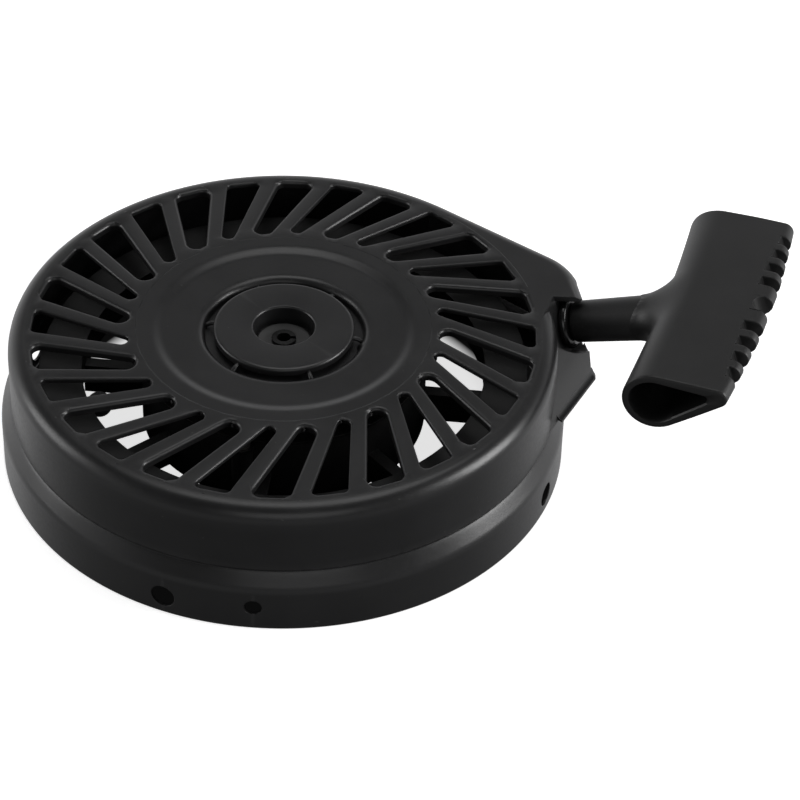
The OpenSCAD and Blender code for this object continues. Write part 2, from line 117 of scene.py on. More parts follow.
def add_world():
    world = bpy.data.worlds.new("studio")
    world.use_nodes = True
    scene.world = world
    nt = world.node_tree
    nt.nodes.clear()
    out = nt.nodes.new("ShaderNodeOutputWorld")
    back = nt.nodes.new("ShaderNodeBackground")
    coord = nt.nodes.new("ShaderNodeTexCoord")
    split = nt.nodes.new("ShaderNodeSeparateXYZ")
    ramp = nt.nodes.new("ShaderNodeValToRGB")
    stops = ((0.0, 0.04), (0.12, 0.06), (0.2, 0.33), (0.47, 0.45), (0.51, 0.95), (0.65, 0.85), (0.75, 0.30),
             (0.85, 0.12), (1.0, 0.09))
    elements = ramp.color_ramp.elements
    while len(elements) < len(stops):
        elements.new(0.5)
    for e, (pos, v) in zip(elements, stops):
        e.position = pos
        e.color = (v, v, v * 1.01, 1)
    scale = nt.nodes.new("ShaderNodeMapRange")
    scale.inputs["From Min"].default_value = -1
    scale.inputs["From Max"].default_value = 1
    nt.links.new(coord.outputs["Generated"], split.inputs[0])
    nt.links.new(split.outputs["Z"], scale.inputs["Value"])
    nt.links.new(scale.outputs["Result"], ramp.inputs[0])
    # the studio is dim in front above the table, and the table is brighter behind
    front = nt.nodes.new("ShaderNodeMapRange")
    for key, v in (("From Min", -0.75), ("From Max", -0.1), ("To Min", 0.22), ("To Max", 1.0)):
        front.inputs[key].default_value = v
    above = nt.nodes.new("ShaderNodeMapRange")
    for key, v in (("From Min", -0.05), ("From Max", 0.03), ("To Min", 1.0), ("To Max", 0.0)):
        above.inputs[key].default_value = v
    table = nt.nodes.new("ShaderNodeMapRange")
    for key, v in (("From Min", -0.1), ("From Max", 0.55), ("To Min", 1.0), ("To Max", 2.6)):
        table.inputs[key].default_value = v
    lower = nt.nodes.new("ShaderNodeMath")
    lower.operation = "MULTIPLY"
    dim = nt.nodes.new("ShaderNodeMath")
    dim.operation = "MAXIMUM"
    shade = nt.nodes.new("ShaderNodeVectorMath")
    shade.operation = "SCALE"
    nt.links.new(split.outputs["Y"], front.inputs["Value"])
    nt.links.new(split.outputs["Z"], above.inputs["Value"])
    nt.links.new(front.outputs["Result"], dim.inputs[0])
    nt.links.new(split.outputs["Y"], table.inputs["Value"])
    nt.links.new(above.outputs["Result"], lower.inputs[0])
    nt.links.new(table.outputs["Result"], lower.inputs[1])
    nt.links.new(lower.outputs[0], dim.inputs[1])
    nt.links.new(ramp.outputs["Color"], shade.inputs[0])
    nt.links.new(dim.outputs[0], shade.inputs["Scale"])
    nt.links.new(shade.outputs[0], back.inputs["Color"])
    back.inputs["Strength"].default_value = 0.8
    nt.links.new(back.outputs[0], out.inputs[0])


# ---- Materials ---------------------------------------------------------------


class Shader:
    """A material with one Principled shader and short calls for its nodes."""

    def __init__(self, name):
        self.mat = bpy.data.materials.new(name)
        self.mat.use_nodes = True
        self.nt = self.mat.node_tree
        self.nt.nodes.clear()
        self.out = self.nt.nodes.new("ShaderNodeOutputMaterial")
        self.bsdf = self.nt.nodes.new("ShaderNodeBsdfPrincipled")
        self.nt.links.new(self.bsdf.outputs[0], self.out.inputs[0])
        self.coord = self.nt.nodes.new("ShaderNodeTexCoord").outputs["Object"]

    def set(self, **values):
        for key, v in values.items():
            self.bsdf.inputs[key.replace("_", " ")].default_value = v
        return self

    def node(self, kind, inputs=(), **props):
        n = self.nt.nodes.new("ShaderNode" + kind)
        for k, v in props.items():
            setattr(n, k, v)
        for k, v in dict(inputs).items():
            if isinstance(v, bpy.types.NodeSocket):
                self.nt.links.new(v, n.inputs[k])
            else:
                n.inputs[k].default_value = v
        return n

    def link(self, socket, name):
        self.nt.links.new(socket, self.bsdf.inputs[name])

    def noise(self, scale, detail=3.0, rough=0.5, stretch=None):
        vec = self.coord
        if stretch:
            vec = self.node("Mapping", {"Vector": vec, "Scale": stretch}).outputs[0]
        return self.node("TexNoise", {"Vector": vec, "Scale": scale, "Detail": detail,
                                      "Roughness": rough}).outputs["Fac"]

    def ramp(self, fac, stops):
        n = self.node("ValToRGB", {"Fac": fac})
        els = n.color_ramp.elements
        while len(els) < len(stops):
            els.new(0.5)
        for e, (pos, c) in zip(els, stops):
            e.position = pos
            c = (c, c, c) if isinstance(c, (int, float)) else c
            e.color = (*c, 1)
        return n.outputs["Color"]

    def span(self, fac, low, high, out_low, out_high):
        return self.node("MapRange", {"Value": fac, "From Min": low, "From Max": high,
                                      "To Min": out_low, "To Max": out_high}).outputs["Result"]

    def mix(self, fac, a, b):
        n = self.nt.nodes.new("ShaderNodeMix")
        n.data_type = "RGBA"
        for idx, v in ((0, fac), (6, a), (7, b)):
            if isinstance(v, bpy.types.NodeSocket):
                self.nt.links.new(v, n.inputs[idx])
            elif idx == 0:
                n.inputs[idx].default_value = v
            else:
                n.inputs[idx].default_value = (*v, 1)
        return n.outputs[2]

    def bumps(self, layers, soften=None):
        """Bump layers as (height socket, distance in metres, strength), over softened edges."""
        normal = None
        if soften:
            normal = self.node("Bevel", {"Radius": soften}, samples=4).outputs[0]
        for height, distance, strength in layers:
            n = self.node("Bump", {"Height": height, "Distance": distance, "Strength": strength})
            if normal is not None:
                self.nt.links.new(normal, n.inputs["Normal"])
            normal = n.outputs[0]
        self.link(normal, "Normal")
        return self


def paint(name, dark, light, rough, soften=None, dust=0.25):
    """Satin black paint on sheet steel: orange peel, slow cloudiness, dust, and convex edges painted lighter
    as rubbed paint and as a painted highlight.
    """
    s = Shader(name)
    cloud = s.noise(38, 4, 0.55)
    fine = s.noise(900, 2, 0.6)
    specks = s.span(s.noise(700, 1, 0.4), 0.78, 0.83, 0.0, dust)
    base = s.ramp(cloud, [(0.3, dark), (0.7, light)])
    # convex edges painted lighter: rubbed paint, and a painted highlight along the edges
    wear_and_highlight = s.span(s.node("NewGeometry").outputs["Pointiness"], 0.54, 0.64, 0.0, 0.25)
    base = s.mix(wear_and_highlight, base, (0.06, 0.06, 0.059))
    base = s.mix(specks, base, (0.10, 0.10, 0.095))
    s.link(base, "Base Color")
    mix = s.node("Math", {0: cloud, 1: fine}, operation="ADD").outputs[0]
    s.link(s.span(mix, 0.7, 1.3, rough[0], rough[1]), "Roughness")
    s.set(Specular_IOR_Level=0.5, Coat_Weight=0.12, Coat_Roughness=0.22)
    s.bumps([(s.noise(70, 2, 0.4), 0.0004, 0.12), (s.noise(1500, 2, 0.5), 0.00006, 0.25)], soften)
    return s.mat


def nylon(name, dark, light, rough, grain=0.22, soften=None, scale=2600):
    """Moulded nylon with a fine eroded grain and faint flow marks."""
    s = Shader(name)
    cloud = s.noise(55, 3, 0.5)
    grit = s.noise(scale, 3, 0.65)
    base = s.ramp(cloud, [(0.3, dark), (0.72, light)])
    base = s.mix(s.span(grit, 0.56, 0.75, 0.0, 0.22), base, (0.085, 0.085, 0.085))
    s.link(base, "Base Color")
    s.link(s.span(grit, 0.3, 0.7, rough[0], rough[1]), "Roughness")
    flow = s.noise(30, 2, 0.5, (0.25, 1, 2.5))
    s.bumps([(flow, 0.0006, 0.05), (grit, 0.00010, grain)], soften)
    return s.mat


def steel(name, dark, light, rough, soften=0.00022, stretch=(1, 1, 14), scale=260, tint=None):
    """Bare or plated steel with drawn or turned marks and dull patches."""
    s = Shader(name)
    marks = s.noise(scale, 4, 0.6, stretch)
    patch = s.noise(90, 3, 0.5)
    base = s.ramp(marks, [(0.3, dark), (0.7, light)])
    if tint:
        base = s.mix(s.span(patch, 0.42, 0.68, 0.0, 0.6), base, tint)
    s.link(base, "Base Color")
    s.link(s.span(patch, 0.3, 0.7, rough[0], rough[1]), "Roughness")
    s.set(Metallic=0.92)
    s.bumps([(marks, 0.00008, 0.2)], soften)
    return s.mat


def cord(name, dark, light):
    """Braided nylon: filament colour and sheen; the braid itself is in the mesh."""
    s = Shader(name)
    fibre = s.noise(4200, 3, 0.7)
    base = s.ramp(fibre, [(0.32, dark), (0.7, light)])
    s.link(base, "Base Color")
    s.link(s.span(fibre, 0.3, 0.7, 0.55, 0.8), "Roughness")
    s.set(Sheen_Weight=0.35, Sheen_Roughness=0.5)
    s.bumps([(fibre, 0.00012, 0.5)])
    return s.mat


def floor_material():
    """A pale, faintly glowing floor, with a painted shadow in a ring under the starter's rim."""
    s = Shader("studio_floor")
    split = s.node("SeparateXYZ", {0: s.coord})
    flat = s.node("CombineXYZ", {0: split.outputs[0], 1: split.outputs[1]})
    radius = s.node("VectorMath", {0: flat.outputs[0]}, operation="LENGTH").outputs["Value"]
    # painted shadow: colour and glow drop to near black in a ring under the rim
    shade = s.ramp(s.span(radius, 0.070, 0.0965, 0.0, 1.0),
                   [(0.0, 1.0), (0.18, 0.9), (0.36, 0.004), (0.86, 0.004), (0.90, 1.0)])
    tone = s.mix(s.node("SeparateColor", {0: shade}).outputs[0], (0.02, 0.02, 0.02), (0.88, 0.88, 0.88))
    s.link(tone, "Base Color")
    s.link(shade, "Emission Color")
    s.set(Roughness=0.9, Specular_IOR_Level=0.1, Emission_Strength=0.75)
    return s.mat


add_world()
add_camera()
MATS = {
    "housing_paint": paint("housing_paint", (0.008, 0.008, 0.0083), (0.0125, 0.0125, 0.013), (0.30, 0.40),
                           0.0005),
    "hub_paint": paint("hub_paint", (0.0085, 0.0085, 0.009), (0.0135, 0.0135, 0.014), (0.32, 0.42), 0.0002,
                       0.35),
    "eyelet_steel": paint("eyelet_steel", (0.005, 0.005, 0.0052), (0.009, 0.009, 0.0092), (0.16, 0.26)),
    "spring_steel": steel("spring_steel", (0.05, 0.055, 0.075), (0.12, 0.125, 0.15), (0.25, 0.42)),
    "pin_steel": steel("pin_steel", (0.025, 0.025, 0.025), (0.06, 0.06, 0.06), (0.3, 0.45)),
    "washer_plastic": nylon("washer_plastic", (0.05, 0.05, 0.05), (0.08, 0.08, 0.08), (0.45, 0.6)),
    "wire_steel": steel("wire_steel", (0.3, 0.3, 0.31), (0.55, 0.55, 0.56), (0.25, 0.4), None),
    "rope_cord": cord("rope_cord", (0.010, 0.010, 0.0105), (0.04, 0.04, 0.041)),
    # pulley: black plastic, painted darker still as shade for the dark inside of the housing
    "pulley_plastic": nylon("pulley_plastic", (0.004, 0.004, 0.0042), (0.007, 0.007, 0.0072),
                            (0.42, 0.58), 0.16, 0.0003),
    "cover_steel": steel("cover_steel", (0.022, 0.022, 0.023), (0.045, 0.045, 0.045), (0.4, 0.6), 0.0003,
                         (1, 1, 1), 400, (0.06, 0.057, 0.05)),
    "screw_zinc": steel("screw_zinc", (0.30, 0.30, 0.29), (0.5, 0.5, 0.48), (0.22, 0.4), 0.0001),
    "retainer_zinc": steel("retainer_zinc", (0.36, 0.36, 0.34), (0.56, 0.56, 0.54), (0.25, 0.45),
                           0.00025, (1, 8, 1), 160, (0.5, 0.47, 0.38)),
    "dog_steel": steel("dog_steel", (0.25, 0.25, 0.25), (0.42, 0.42, 0.42), (0.35, 0.55), 0.0003,
                       (1, 1, 1), 1400),
    "grip_nylon": nylon("grip_nylon", (0.0055, 0.0055, 0.0055), (0.0095, 0.0095, 0.0095), (0.38, 0.52), 0.2),
}
for sub in frame["record"]["subparts"]:
    node = frame["nodes"][sub["node"]]
    node.data.materials.clear()
    node.data.materials.append(MATS[sub["material_slot"]])

# ---- Mesh helpers ------------------------------------------------------------


def mesh_piece(name, verts, faces, slot, body, sharp=None, merge=None):
    """A mesh given in mm, with smooth shading, riding a body."""
    me = bpy.data.meshes.new(name)
    me.from_pydata([tuple(c * MM for c in v) for v in verts], [], faces)
    if merge:
        bm = bmesh.new()
        bm.from_mesh(me)
        bmesh.ops.remove_doubles(bm, verts=bm.verts, dist=merge * MM)
        bm.to_mesh(me)
        bm.free()
    me.validate()
    me.shade_smooth()
    if sharp:
        me.set_sharp_from_angle(angle=math.radians(sharp))
    o = bpy.data.objects.new(name, me)
    scene.collection.objects.link(o)
    o.data.materials.append(MATS[slot])
    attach(o, body)
    return o


def thicken(o, mm, sharp=35):
    """Gives a sheet its thickness, inwards, and keeps the sheet's cut edges sharp."""
    m = o.modifiers.new("sheet", "SOLIDIFY")
    m.thickness = mm * MM
    m.offset = -1
    m.use_even_offset = True
    m.thickness_clamp = 0.9
    dg = bpy.context.evaluated_depsgraph_get()
    new = bpy.data.meshes.new_from_object(o.evaluated_get(dg))
    o.modifiers.clear()
    o.data = new
    new.shade_smooth()
    new.set_sharp_from_angle(angle=math.radians(sharp))
    return o


def grid_faces(rows, cols, wrap=False, base=0):
    """Quads over a grid of vertices stored row by row."""
    faces = []
    for r in range(rows - 1):
        for c in range(cols if wrap else cols - 1):
            d = (c + 1) % cols
            faces.append((base + r * cols + c, base + r * cols + d,
                          base + (r + 1) * cols + d, base + (r + 1) * cols + c))
    return faces


def flip(faces):
    return [tuple(reversed(f)) for f in faces]


def polar(r, deg):
    a = math.radians(deg)
    return (r * math.cos(a), r * math.sin(a))


def lathe(name, profile, slot, body, place=None, segments=128, sharp=38, closed=False):
    """Turns a profile of (radius, height) in mm about Z, or about the rope's line."""
    verts = []
    for r, z in profile:
        for k in range(segments):
            x, y = polar(max(r, 0.0005), 360 * k / segments)
            verts.append(place(z, x, y) if place else (x, y, z))
    faces = grid_faces(len(profile), segments, True)
    if closed:
        n = len(profile)
        for k in range(segments):
            m = (k + 1) % segments
            faces.append(((n - 1) * segments + k, (n - 1) * segments + m, m, k))
    return mesh_piece(name, verts, faces, slot, body, sharp)


def rounded_profile(points, radius, steps=4):
    """Cuts the corners of an open profile with small arcs."""
    out = [points[0]]
    for a, p, b in zip(points, points[1:], points[2:]):
        va, vb = Vector(a) - Vector(p), Vector(b) - Vector(p)
        cut = min(radius, va.length * 0.45, vb.length * 0.45)
        s, e = Vector(p) + va.normalized() * cut, Vector(p) + vb.normalized() * cut
        for i in range(steps + 1):
            t = i / steps
            out.append(tuple(s * (1 - t) ** 2 + Vector(p) * 2 * t * (1 - t) + e * t * t))
    return out + [points[-1]]


def sweep(points, radius, sides=12, strand=0.0, turns_per_mm=0.0):
    """A round tube along points in mm. strand raises a braid over its surface."""
    pts = [Vector(p) for p in points]
    verts, run = [], 0.0
    normal = None
    for i, p in enumerate(pts):
        t = (pts[min(i + 1, len(pts) - 1)] - pts[max(i - 1, 0)]).normalized()
        if normal is None:
            normal = t.orthogonal().normalized()
        normal = (normal - t * normal.dot(t)).normalized()
        side = t.cross(normal)
        if i:
            run += (p - pts[i - 1]).length
        for k in range(sides):
            a = 2 * math.pi * k / sides
            r = radius
            if strand:
                u = run * turns_per_mm * 2 * math.pi
                r += strand * (abs(math.sin(2 * a + u)) + abs(math.sin(2 * a - u)) - 1.3)
            verts.append(tuple(p + r * (math.cos(a) * normal + math.sin(a) * side)))
    faces = grid_faces(len(pts), sides, True)
    faces.append(tuple(range(sides - 1, -1, -1)))
    faces.append(tuple(range((len(pts) - 1) * sides, len(pts) * sides)))
    return verts, flip(faces[:-2]) + [faces[-2], faces[-1]]


# ---- Dimensions, in mm -------------------------------------------------------

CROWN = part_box("housing")[1].z / MM     # top of the pressed cover
EDGE_Z = CROWN - 1.4                    # top face at its outer edge
RIM_R, WALL_R, ROUND = 93.5, 90.0, 5.5  # rim band, wall, and the rounded edge between wall and top
TOP_R = WALL_R - ROUND
BAND_H, SHOULDER = 15.5, 21.0           # the flare runs between these two heights
FLOOR_Z = 21.5                          # underside of the rope outlet
SHEET = 1.6
EYE_R = 25.8                            # hole round the hub
STEP_IN, STEP_OUT = 39.4, 43.6          # the pressed step round the hub
STEP_DOWN = 1.0
VENTS = 28
VENT_OUT, VENT_IN = 82.6, 51.0
VENT_START, VENT_SLANT = -13.2, 12.4    # degrees
# each kind of vent: half its angle and its corner radius, outer then inner, and its lip's size
WIDE = {"half": (4.45, 3.7), "corner": (2.7, 3.2), "lip": 1.25, "depth": 2.7}
NARROW = {"half": (4.2, 2.5), "corner": (1.9, 2.2), "lip": 0.5, "depth": 1.7}
# holes through the rim band: direction in degrees, height, radius
RIM_HOLES = [(-21 + 90 * k, 6.5, 4.0) for k in range(4)] + [(-93, 8.5, 2.8)]

YAW, PITCH = math.radians(-17.5), math.radians(19)
OUT = Vector((math.cos(PITCH) * math.cos(YAW), math.cos(PITCH) * math.sin(YAW), math.sin(PITCH)))
ACROSS = Vector((-math.sin(YAW), math.cos(YAW), 0))
UP = OUT.cross(ACROSS)
SEAT = Vector((94, 24.9, 32.4))


def at_outlet(u, v, w):
    """A point of the rope outlet's frame: out along the rope, across to its left, and up."""
    return tuple(SEAT + OUT * u + ACROSS * v + UP * w)


def top_height(r):
    """Height of the top face at a distance from the axis."""
    if r >= VENT_IN:
        return CROWN - (CROWN - EDGE_Z) * min((r - VENT_IN) / (TOP_R - VENT_IN), 1)
    if r >= STEP_OUT:
        return CROWN
    if r <= STEP_IN:
        return CROWN - STEP_DOWN
    t = (r - STEP_IN) / (STEP_OUT - STEP_IN)
    return CROWN - STEP_DOWN + STEP_DOWN * t * t * (3 - 2 * t)


# ---- Housing: top face with its vents, edge, wall, flare and band ---------------


def corner_arc(before, p, after, r, n):
    """The corner p between two straight sides, as an arc of n steps."""
    a, b = (before - p).normalized(), (after - p).normalized()
    half = a.angle(b) / 2
    c = p + (a + b).normalized() * r / math.sin(half)
    s, f = p + a * r / math.tan(half) - c, p + b * r / math.tan(half) - c
    start = math.atan2(s.y, s.x)
    turn = (math.atan2(f.y, f.x) - start + 5 * math.pi) % (2 * math.pi) - math.pi
    return [(c + Vector((r * math.cos(start + turn * i / n), r * math.sin(start + turn * i / n))))
            for i in range(n + 1)]


def vent_outline(i, kind):
    """Outline of vent i: a slanted slot with round corners, anticlockwise."""
    outer_a = VENT_START + 360 * i / VENTS
    inner_a = outer_a + VENT_SLANT
    outer_half, inner_half = kind["half"]
    outer_r, inner_r = kind["corner"]
    quad = [Vector(polar(VENT_OUT, outer_a - outer_half)), Vector(polar(VENT_OUT, outer_a + outer_half)),
            Vector(polar(VENT_IN, inner_a + inner_half)), Vector(polar(VENT_IN, inner_a - inner_half))]
    radii = [outer_r, outer_r, inner_r, inner_r]
    pts = []
    for k in range(4):
        pts += corner_arc(quad[k - 1], quad[k], quad[(k + 1) % 4], radii[k], 8)
    full = []
    for a, b in zip(pts, pts[1:] + pts[:1]):
        n = max(1, int((b - a).length / 2.2))
        full += [a.lerp(b, j / n) for j in range(n)]
    return full


def outline_normals(pts):
    """Directions out of an anticlockwise outline."""
    tangents = [(pts[(i + 1) % len(pts)] - pts[i - 1]).normalized() for i in range(len(pts))]
    return [Vector((t.y, -t.x)) for t in tangents]


def fillet(n=10):
    """(inset, height) down the rounded top edge."""
    turns = [math.pi / 2 * i / n for i in range(n + 1)]
    return [(ROUND * (1 - math.sin(a)), EDGE_Z - ROUND * (1 - math.cos(a))) for a in turns]


def build_top():
    """The cover as one sheet: vented top, rounded edge, wall, flare and rim band."""
    faces, flat, edges = [], [], []

    def loop_2d(pts):
        base = len(flat)
        flat.extend(Vector((p[0], p[1])) for p in pts)
        edges.extend((base + i, base + (i + 1) % len(pts)) for i in range(len(pts)))
        return list(range(base, base + len(pts)))

    # the wall stands between these two directions; the rope outlet takes the rest
    wall_from, wall_to, segments = 51, 379, 560
    around = [wall_from + (wall_to - wall_from) * i / segments for i in range(segments + 1)]
    rim_steps, hub_steps, hub_edge = 720, 216, 48.4
    loop_2d([Vector(polar(TOP_R, 360 * i / rim_steps)) for i in range(rim_steps)])
    inner = [Vector(polar(hub_edge, 360 * k / hub_steps)) for k in range(hub_steps)]
    loop_2d(inner[::-1])
    vents = []
    for i in range(VENTS):
        kind = (WIDE, NARROW)[i % 2]
        pts = vent_outline(i, kind)
        norms = outline_normals(pts)
        ring = [p + n * kind["lip"] for p, n in zip(pts, norms)]
        loop_2d(ring[::-1])
        vents.append((pts, norms, kind))
    for r in (49.6, 84.0):
        count = int(r * 2)
        flat.extend(Vector(polar(r, 360 * (k + 0.5) / count)) for k in range(count))
    got = delaunay_2d_cdt(flat, edges, [], 2, 1e-5)
    pts2, tris = got[0], got[2]
    vent_polys = [[p + n * (kind["lip"] / 2) for p, n in zip(pts, norms)] for pts, norms, kind in vents]

    def inside(poly, q):
        hit = False
        for p1, p2 in zip(poly, poly[1:] + poly[:1]):
            if (p1.y > q.y) != (p2.y > q.y):
                share = (q.y - p1.y) / (p2.y - p1.y)
                hit ^= q.x < (p2.x - p1.x) * share + p1.x
        return hit

    verts = [(p.x, p.y, top_height(p.length)) for p in pts2]
    for t in tris:
        c = sum((pts2[i] for i in t), Vector((0, 0))) / len(t)
        r = c.length
        if r < hub_edge - 0.1:
            continue
        if 49.5 < r < 84.2 and any(inside(v, c) for v in vent_polys):
            continue
        faces.append(tuple(t))
    # lips of the vents, rolled further down on the wide ones
    for pts, norms, kind in vents:
        base, n, lip = len(verts), len(pts), kind["lip"]
        turns = [math.radians(15 * j) for j in range(7)]
        rows = [(lip * (1 - math.sin(a)), lip * (1 - math.cos(a))) for a in turns]
        rows += [(0.0, kind["depth"])]
        for off, drop in rows:
            for p, nn in zip(pts, norms):
                q = p + nn * off
                verts.append((q.x, q.y, top_height((p + nn * lip).length) - drop))
        faces += grid_faces(len(rows), n, True, base)
    # inside the vents: the pressed step and the rolled lip round the hub
    profile = [(hub_edge - 0.8 * k, top_height(hub_edge - 0.8 * k)) for k in range(25)]
    profile += [(29.2, CROWN - STEP_DOWN)]
    lip_r = 3.0
    turns = [math.radians(9 * k) for k in range(1, 11)]
    profile += [(EYE_R + lip_r * (1 - math.sin(a)), CROWN - STEP_DOWN - lip_r * (1 - math.cos(a)))
                for a in turns]
    profile += [(EYE_R, CROWN - 4.9)]
    base = len(verts)
    uneven, notch_at, notch_width, notch_depth = 2.2, 347, 1.6, 0.9
    for r, z in profile:
        for k in range(hub_steps):
            turn = 360 * k / hub_steps
            push = 0
            if r < EYE_R + uneven:   # the lip's edge is a little uneven, with one torn notch
                off = (turn - notch_at + 180) % 360 - 180
                notch = notch_depth * math.exp(-(off / notch_width) ** 2)
                wave = 0.10 * math.sin(math.radians(5 * turn)) + 0.07 * math.sin(math.radians(11 * turn + 40))
                push = (1 - (r - EYE_R) / uneven) * (wave - notch)
            verts.append((*polar(r + push, turn), z))
    faces += grid_faces(len(profile), hub_steps, True, base)
    # outer edge and wall down to the outlet's floor, round the drum only
    wall_h = EDGE_Z - ROUND - FLOOR_Z
    rows = fillet() + [(0.0, EDGE_Z - ROUND - wall_h * k / 5) for k in range(1, 6)]
    base = len(verts)
    for inset, z in rows:
        verts += [(*polar(WALL_R - inset, a), z) for a in around]
    faces += flip(grid_faces(len(rows), len(around), False, base))
    # flare and band, all the way round
    corners = [(WALL_R, FLOOR_Z), (WALL_R, SHOULDER), (RIM_R, BAND_H), (RIM_R, 1.0)]
    soft = rounded_profile(corners, 1.6, 6) + [(RIM_R, 0.0)]
    base = len(verts)
    for r, z in soft:
        verts += [(*polar(r, 360 * k / rim_steps), z) for k in range(rim_steps)]
    faces += flip(grid_faces(len(soft), rim_steps, True, base))
    return verts, faces


def solid(verts, faces):
    """A closed solid in mm, used to cut others."""
    me = bpy.data.meshes.new("cutter")
    me.from_pydata([tuple(c * MM for c in v) for v in verts], [], faces)
    bm = bmesh.new()
    bm.from_mesh(me)
    bmesh.ops.recalc_face_normals(bm, faces=bm.faces)
    bm.to_mesh(me)
    bm.free()
    o = bpy.data.objects.new("cutter", me)
    scene.collection.objects.link(o)
    return o


def rod(centre, axis, r, long, segments=48):
    """A closed cylinder in mm, with its middle at centre."""
    turn = Vector(axis).to_track_quat("Z", "Y").to_matrix()
    verts = [Vector(centre) + turn @ Vector((*polar(r, 360 * k / segments), h))
             for h in (-long / 2, long / 2) for k in range(segments)]
    ends = [tuple(range(segments)), tuple(range(segments, 2 * segments))]
    return solid(verts, grid_faces(2, segments, True) + ends)


def cut(o, cutter, how="DIFFERENCE"):
    """Applies one boolean to o and drops the cutter."""
    m = o.modifiers.new("cut", "BOOLEAN")
    m.operation = how
    m.object = cutter
    m.solver = "EXACT"
    bpy.context.view_layer.update()
    dg = bpy.context.evaluated_depsgraph_get()
    new = bpy.data.meshes.new_from_object(o.evaluated_get(dg))
    o.modifiers.clear()
    o.data = new
    bpy.data.objects.remove(cutter)
    return o


def finish_cut(o, sharp=35):
    o.data.shade_smooth()
    o.data.set_sharp_from_angle(angle=math.radians(sharp))


shell_verts, shell_faces = build_top()
shell = mesh_piece("housing_shell", shell_verts, shell_faces, "housing_paint", "housing", None, 0.02)
thicken(shell, SHEET)
for angle, z, r in RIM_HOLES:
    cut(shell, rod((*polar(RIM_R - SHEET / 2, angle), z), (*polar(1, angle), 0), r, 9))
finish_cut(shell)
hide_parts("housing")

# ---- Housing: rope outlet ------------------------------------------------------


# the outlet's outline runs round these posts: centre and radius of each
POSTS = [(polar(78, 55), 12.0), ((75.2, 28.0), 23.2), ((98.3, 10.1), 4.0), ((75.3, -24.4), 10.0)]
FRONT_AT = Vector((98, 0, FLOOR_Z))
FRONT_TURN, FRONT_LEAN = math.radians(-26.8), math.radians(24.9)
FRONT_OUT = Vector((math.cos(FRONT_TURN), math.sin(FRONT_TURN), 0))
FRONT_NORMAL = FRONT_OUT * math.cos(FRONT_LEAN) + Vector((0, 0, math.sin(FRONT_LEAN)))
HOOD_Y = 22.0      # the roof stays whole to the left of this
POCKET_LOW, POCKET_STEP, POCKET_RISE = -9.4, 3.7, 1.6
# lower edge of the pocket to the right of the eyelet, as (across, up) in the outlet's frame
POCKET_SIDE = [(-3, -9.4), (-7, -7.4), (-11.5, -4.9), (-15.7, -1.8), (-19, 1.4), (-22, 5), (-34, 17)]


def outline_at(inset, count=240):
    """The outlet's outline round its corner posts, drawn in by inset."""
    pts = []
    for k in range(count):
        n = Vector(polar(1, 360 * k / count))
        c, r = max(POSTS, key=lambda post: Vector(post[0]).dot(n) + max(post[1] - inset, 0.4))
        pts.append(Vector(c) + n * max(r - inset, 0.4))
    return pts


def outlet_block(inset):
    """The outlet as a solid with a rounded upper edge. inset draws it in for its hollow."""
    soft = ROUND - inset
    rows = [(inset, FLOOR_Z + inset)]
    rows += [(inset, FLOOR_Z + inset + (EDGE_Z - ROUND - FLOOR_Z - inset) * k / 4) for k in range(1, 4)]
    rows += [(inset + soft * (1 - math.cos(math.radians(9 * k))),
              EDGE_Z - ROUND + soft * math.sin(math.radians(9 * k))) for k in range(11)]
    verts, count = [], 240
    for i, z in rows:
        verts += [(p.x, p.y, z) for p in outline_at(i, count)]
    ends = [tuple(range(count)), tuple(range((len(rows) - 1) * count, len(rows) * count))]
    return verts, grid_faces(len(rows), count, True) + ends


def prism(ends):
    """A closed solid between two outlines with the same number of points."""
    n = len(ends[0])
    return solid(ends[0] + ends[1], grid_faces(2, n, True) + [tuple(range(n)), tuple(range(n, 2 * n))])


def pocket_solid(grow):
    """The pocket in front of the eyelet's flat, open to the front, the top and the right."""
    left, right, far, high = 11 + grow, -33 - grow, 50, 60
    low = POCKET_LOW - grow
    step = POCKET_STEP + 2 * grow
    section = [(-grow, low), (step, low), (step + 0.5, low + 0.3), (step + 0.8, low + POCKET_RISE),
               (far, low + POCKET_RISE), (far, high), (-grow, high)]
    slab = prism([[at_outlet(u, v, w) for u, w in section] for v in (left, right)])
    side = [(left + 2, high + 10), (left + 2, low - 1)]
    side += [(v, w - 1.25 * grow) for v, w in POCKET_SIDE]
    side += [(-40, high + 10)]
    return cut(slab, prism([[at_outlet(u, v, w) for v, w in side] for u in (-1 - grow, 60)]), "INTERSECT")


def box(low, high):
    verts = [(x, y, z) for z in (low[2], high[2]) for x, y in
             ((low[0], low[1]), (high[0], low[1]), (high[0], high[1]), (low[0], high[1]))]
    return solid(verts, grid_faces(2, 4, True) + [(0, 1, 2, 3), (4, 5, 6, 7)])


def front_solid(inset):
    """Everything in front of the sloped panel under the eyelet."""
    side_dir = FRONT_OUT.cross(Vector((0, 0, 1)))
    slope = FRONT_NORMAL.cross(side_dir)
    at = FRONT_AT - FRONT_NORMAL * inset
    verts = [at + side_dir * a * 80 + slope * b * 80 + FRONT_NORMAL * c
             for c in (0, 80) for a, b in ((-1, -1), (1, -1), (1, 1), (-1, 1))]
    return solid(verts, grid_faces(2, 4, True) + [(0, 1, 2, 3), (4, 5, 6, 7)])


